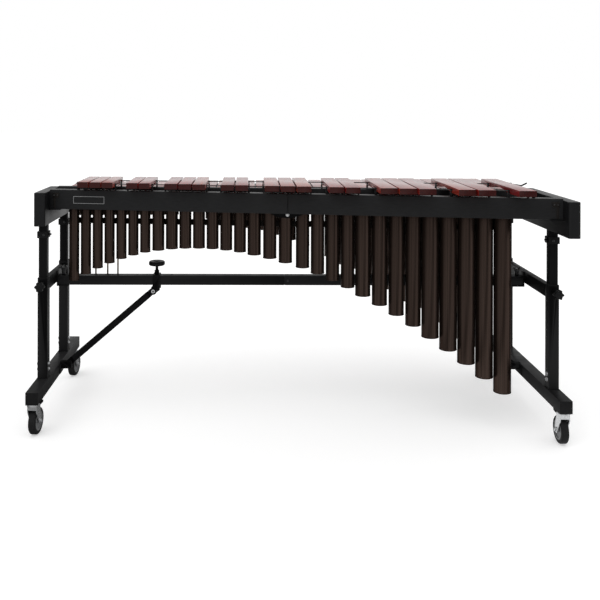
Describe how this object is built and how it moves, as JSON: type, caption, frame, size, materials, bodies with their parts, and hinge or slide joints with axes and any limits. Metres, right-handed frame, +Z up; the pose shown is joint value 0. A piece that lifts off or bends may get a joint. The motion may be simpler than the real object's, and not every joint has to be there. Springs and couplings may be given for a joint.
{
  "type": "marimba",
  "caption": "Concert marimba: two rows of wooden bars on cords over arched banks of resonator tubes, on a height-adjustable braced stand with casters.",
  "frame": {"origin": "on the floor, under the middle of the whole outline", "axes": "+Z up, +X towards the bass end, -Y towards the audience, whose side has the raised accidental row"},
  "size_m": [2.064, 0.922, 0.965],
  "materials": {
    "black_wood": "satin black lacquer",
    "bar_wood": "oiled red hardwood",
    "bronze_tube": "dark bronze anodised",
    "strap_metal": "dark anodised",
    "black_steel": "black powder coat",
    "zinc_steel": "zinc plated",
    "black_plastic": "moulded black",
    "grey_plastic": "moulded grey",
    "tyre_rubber": "soft black tread",
    "cord_braid": "braided cord",
    "brass_rod": "dull"
  },
  "bodies": {
    "base": {"foot_high": "black_steel", "foot_low": "black_steel", "foot_caps": "black_plastic", "lower_legs": "black_steel", "leg_bushes": "black_plastic", "end_bars": "black_steel", "crossbars": "black_steel", "crossbar_joiner": "strap_metal", "crossbar_brackets": "black_steel", "crossbar_bolts": "black_steel", "foot_brackets": "black_steel", "brace_clamps": "black_steel"},
    "keyboard": {"cheek_high": "black_wood", "cheek_low": "black_wood", "upper_legs": "black_steel", "leg_sockets": "black_steel", "front_rails": "black_wood", "accidental_inner_rails": "black_wood", "natural_rails": "black_wood", "rail_joints": "black_steel", "rail_brackets": "black_steel", "cord_posts": "black_plastic", "accidental_bars_high": "bar_wood", "accidental_bars_low": "bar_wood", "natural_bars_high": "bar_wood", "natural_bars_low": "bar_wood", "accidental_cord": "cord_braid", "natural_cord": "cord_braid", "front_tubes_high": "bronze_tube", "front_tubes_low": "bronze_tube", "back_tubes_high": "bronze_tube", "back_tubes_low": "bronze_tube", "tube_stops": "bronze_tube", "resonator_straps": "strap_metal", "resonator_hangers": "strap_metal", "stay_rods": "brass_rod"},
    "leg_knob_1": {"leg_knob_1": "black_plastic"},
    "leg_knob_2": {"leg_knob_2": "black_plastic"},
    "leg_knob_3": {"leg_knob_3": "black_plastic"},
    "leg_knob_4": {"leg_knob_4": "black_plastic"},
    "end_screw_high": {"end_screw_high": "zinc_steel"},
    "end_screw_low": {"end_screw_low": "zinc_steel"},
    "brace_knob_high": {"brace_knob_high": "black_plastic"},
    "brace_high": {"brace_high": "black_steel"},
    "brace_knob_low": {"brace_knob_low": "black_plastic"},
    "brace_low": {"brace_low": "black_steel"},
    "caster_fork_1": {"caster_fork_1": "zinc_steel"},
    "wheel_1": {"caster_tyre_1": "tyre_rubber", "caster_hub_1": "grey_plastic"},
    "brake_pedal_1": {"brake_pedal_1": "black_plastic"},
    "caster_fork_2": {"caster_fork_2": "zinc_steel"},
    "wheel_2": {"caster_tyre_2": "tyre_rubber", "caster_hub_2": "grey_plastic"},
    "caster_fork_3": {"caster_fork_3": "zinc_steel"},
    "wheel_3": {"caster_tyre_3": "tyre_rubber", "caster_hub_3": "grey_plastic"},
    "brake_pedal_2": {"brake_pedal_2": "black_plastic"},
    "caster_fork_4": {"caster_fork_4": "zinc_steel"},
    "wheel_4": {"caster_tyre_4": "tyre_rubber", "caster_hub_4": "grey_plastic"}
  },
  "joints": [
    {"name": "height_slide", "type": "slide", "parent": "base", "child": "keyboard", "axis": [0, 0, 1], "range_m": [-0.08, 0.1]},
    {"name": "leg_knob_1_turn", "type": "hinge", "parent": "base", "child": "leg_knob_1", "pos_m": [-1.003, -0.189, 0.552], "axis": [0, -1, 0], "continuous": true},
    {"name": "leg_knob_2_turn", "type": "hinge", "parent": "base", "child": "leg_knob_2", "pos_m": [-1.003, 0.279, 0.552], "axis": [0, 1, 0], "continuous": true},
    {"name": "leg_knob_3_turn", "type": "hinge", "parent": "base", "child": "leg_knob_3", "pos_m": [1.003, -0.299, 0.552], "axis": [0, -1, 0], "continuous": true},
    {"name": "leg_knob_4_turn", "type": "hinge", "parent": "base", "child": "leg_knob_4", "pos_m": [1.003, 0.355, 0.552], "axis": [0, 1, 0], "continuous": true},
    {"name": "end_screw_high_turn", "type": "hinge", "parent": "base", "child": "end_screw_high", "pos_m": [-0.9655, 0.056, 0.56], "axis": [0, 0, 1], "continuous": true},
    {"name": "end_screw_low_turn", "type": "hinge", "parent": "base", "child": "end_screw_low", "pos_m": [0.9655, 0.056, 0.56], "axis": [0, 0, 1], "continuous": true},
    {"name": "brace_knob_high_turn", "type": "hinge", "parent": "base", "child": "brace_knob_high", "pos_m": [-0.569, 0.056, 0.6], "axis": [0, 0, 1], "continuous": true},
    {"name": "brace_high_swing", "type": "hinge", "parent": "base", "child": "brace_high", "pos_m": [-0.582, 0.056, 0.483], "axis": [0, 1, 0], "range_deg": [0, 38]},
    {"name": "brace_knob_low_turn", "type": "hinge", "parent": "base", "child": "brace_knob_low", "pos_m": [0.569, 0.056, 0.6], "axis": [0, 0, 1], "continuous": true},
    {"name": "brace_low_swing", "type": "hinge", "parent": "base", "child": "brace_low", "pos_m": [0.582, 0.056, 0.483], "axis": [0, -1, 0], "range_deg": [0, 38]},
    {"name": "caster_swivel_1", "type": "hinge", "parent": "base", "child": "caster_fork_1", "pos_m": [-1.003, -0.28, 0.122], "axis": [0, 0, 1], "continuous": true},
    {"name": "wheel_turn_1", "type": "hinge", "parent": "caster_fork_1", "child": "wheel_1", "pos_m": [-1.00007, -0.25215, 0.05], "axis": [0.9945, -0.1045, 0], "continuous": true},
    {"name": "brake_press_1", "type": "hinge", "parent": "caster_fork_1", "child": "brake_pedal_1", "pos_m": [-1.00112, -0.2621, 0.106], "axis": [-0.9945, 0.1045, 0], "range_deg": [0, 10]},
    {"name": "caster_swivel_2", "type": "hinge", "parent": "base", "child": "caster_fork_2", "pos_m": [-1.003, 0.378, 0.122], "axis": [0, 0, 1], "continuous": true},
    {"name": "wheel_turn_2", "type": "hinge", "parent": "caster_fork_2", "child": "wheel_2", "pos_m": [-0.9991, 0.40573, 0.05], "axis": [0.9903, -0.1392, 0], "continuous": true},
    {"name": "caster_swivel_3", "type": "hinge", "parent": "base", "child": "caster_fork_3", "pos_m": [1.003, -0.355, 0.122], "axis": [0, 0, 1], "continuous": true},
    {"name": "wheel_turn_3", "type": "hinge", "parent": "caster_fork_3", "child": "wheel_3", "pos_m": [1.00349, -0.327, 0.05], "axis": [0.9998, -0.0175, 0], "continuous": true},
    {"name": "brake_press_2", "type": "hinge", "parent": "caster_fork_3", "child": "brake_pedal_2", "pos_m": [1.00331, -0.337, 0.106], "axis": [-0.9998, 0.0175, 0], "range_deg": [0, 10]},
    {"name": "caster_swivel_4", "type": "hinge", "parent": "base", "child": "caster_fork_4", "pos_m": [1.003, 0.411, 0.122], "axis": [0, 0, 1], "continuous": true},
    {"name": "wheel_turn_4", "type": "hinge", "parent": "caster_fork_4", "child": "wheel_4", "pos_m": [1.0069, 0.38327, 0.05], "axis": [-0.9903, -0.1392, 0], "continuous": true}
  ]
}
